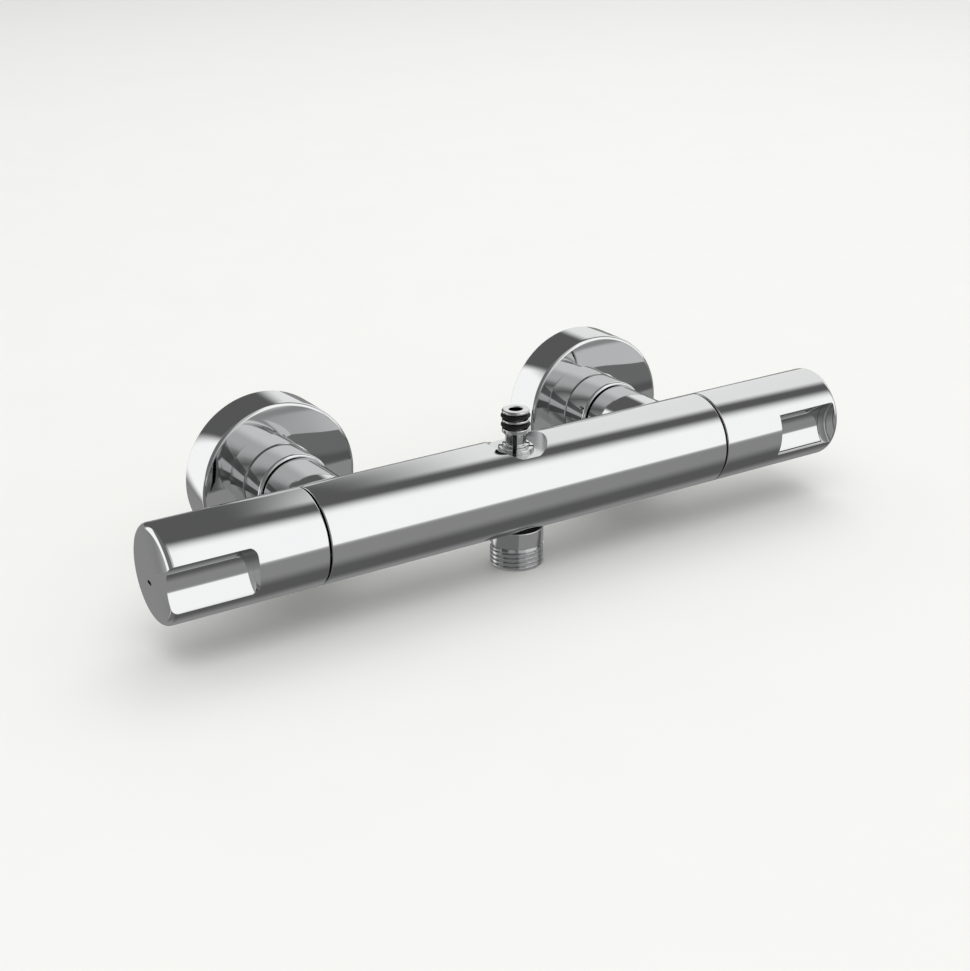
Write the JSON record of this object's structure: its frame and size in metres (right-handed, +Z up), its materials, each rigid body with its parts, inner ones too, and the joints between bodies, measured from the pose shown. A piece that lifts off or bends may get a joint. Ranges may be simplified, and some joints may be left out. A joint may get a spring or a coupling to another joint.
{
  "type": "thermostatic shower valve",
  "caption": "Exposed round-bar thermostatic shower valve with flow handle left, temperature handle with safety button right, hose outlet below, riser spigot on top and round wall rosettes.",
  "frame": {"origin": "on the finished wall, midway between the two inlets and level with the bar's axis", "axes": "+X along the bar towards the temperature handle, +Y into the wall, +Z up"},
  "size_m": [0.3, 0.108, 0.065],
  "materials": {
    "polished_chrome": "mirror polished chrome plate",
    "turned_brass": "machined brass",
    "nickel_plate": "satin nickel over brass",
    "spring_steel": "drawn stainless wire and small steel parts",
    "black_rubber": "matt moulded rubber",
    "white_ceramic": "lapped ceramic",
    "ivory_plastic": "moulded",
    "tan_plastic": "glass-filled, moulded",
    "orange_plastic": "moulded",
    "red_plastic": "moulded",
    "copper_capsule": "drawn copper alloy"
  },
  "bodies": {
    "valve": {"valve_body": "polished_chrome", "hose_outlet": "polished_chrome", "outlet_o_ring": "black_rubber", "riser_spigot": "polished_chrome", "spigot_o_rings": "black_rubber", "left_inlet_nipple": "nickel_plate", "right_inlet_nipple": "nickel_plate", "left_union_nut": "polished_chrome", "right_union_nut": "polished_chrome", "left_eccentric_union": "turned_brass", "right_eccentric_union": "turned_brass", "union_washers": "black_rubber", "left_inlet_filter": "ivory_plastic", "right_inlet_filter": "ivory_plastic", "left_check_valve_cage": "ivory_plastic", "right_check_valve_cage": "ivory_plastic", "left_check_valve_spring": "spring_steel", "right_check_valve_spring": "spring_steel", "flow_fixed_disc": "white_ceramic", "flow_port_seal": "black_rubber", "flow_cartridge_housing": "turned_brass", "flow_cartridge_o_rings": "black_rubber", "stop_ring": "red_plastic", "thermostat_retaining_nut": "turned_brass", "thermostat_housing": "tan_plastic", "thermostat_o_rings": "black_rubber", "return_spring": "spring_steel"},
    "flow_control": {"flow_handle": "polished_chrome", "flow_handle_insert": "ivory_plastic", "flow_handle_grub_screw": "spring_steel", "flow_spindle": "turned_brass", "flow_spindle_o_ring": "black_rubber", "flow_moving_disc": "white_ceramic"},
    "temperature_control": {"temperature_handle": "polished_chrome", "temperature_handle_insert": "ivory_plastic", "temperature_handle_grub_screw": "spring_steel", "temperature_spindle": "turned_brass", "temperature_spindle_o_ring": "black_rubber", "safety_button_spring": "spring_steel"},
    "button": {"safety_button": "polished_chrome"},
    "thermostat_shuttle": {"regulating_piston": "nickel_plate", "wax_element": "copper_capsule", "push_nut": "turned_brass", "overload_plunger": "nickel_plate", "overload_spring": "spring_steel", "overload_snap_ring": "spring_steel"},
    "hot_check_poppet": {"left_check_valve_poppet": "orange_plastic"},
    "cold_check_poppet": {"right_check_valve_poppet": "orange_plastic"},
    "hot_rosette": {"left_rosette": "polished_chrome", "left_rosette_gasket": "black_rubber"},
    "cold_rosette": {"right_rosette": "polished_chrome", "right_rosette_gasket": "black_rubber"}
  },
  "joints": [
    {"name": "flow_turn", "type": "hinge", "parent": "valve", "child": "flow_control", "pos_m": [0, -0.0695, 0], "axis": [1, 0, 0], "range_deg": [-90, 90]},
    {"name": "temperature_turn", "type": "hinge", "parent": "valve", "child": "temperature_control", "pos_m": [0, -0.0695, 0], "axis": [1, 0, 0], "range_deg": [-150, 100]},
    {"name": "button_press", "type": "slide", "parent": "temperature_control", "child": "button", "axis": [0, 1, 0], "range_m": [0, 0.002], "stiffness_N_per_m": 300, "springref_m": -0.003, "deforming": ["safety_button_spring"]},
    {"name": "shuttle_slide", "type": "slide", "parent": "valve", "child": "thermostat_shuttle", "axis": [1, 0, 0], "range_m": [-0.0007, 0.0005], "deforming": ["return_spring"]},
    {"name": "hot_check_slide", "type": "slide", "parent": "valve", "child": "hot_check_poppet", "axis": [0, -1, 0], "range_m": [0, 0.003], "stiffness_N_per_m": 60, "springref_m": -0.002, "deforming": ["left_check_valve_spring"]},
    {"name": "cold_check_slide", "type": "slide", "parent": "valve", "child": "cold_check_poppet", "axis": [0, -1, 0], "range_m": [0, 0.003], "stiffness_N_per_m": 60, "springref_m": -0.002, "deforming": ["right_check_valve_spring"]},
    {"name": "hot_rosette_slide", "type": "slide", "parent": "valve", "child": "hot_rosette", "axis": [0, -1, 0], "range_m": [0, 0.026]},
    {"name": "cold_rosette_slide", "type": "slide", "parent": "valve", "child": "cold_rosette", "axis": [0, -1, 0], "range_m": [0, 0.026]}
  ],
  "couplings": [
    {"joint": "shuttle_slide", "follows": "temperature_turn", "m_per_rad": 0.000239}
  ]
}
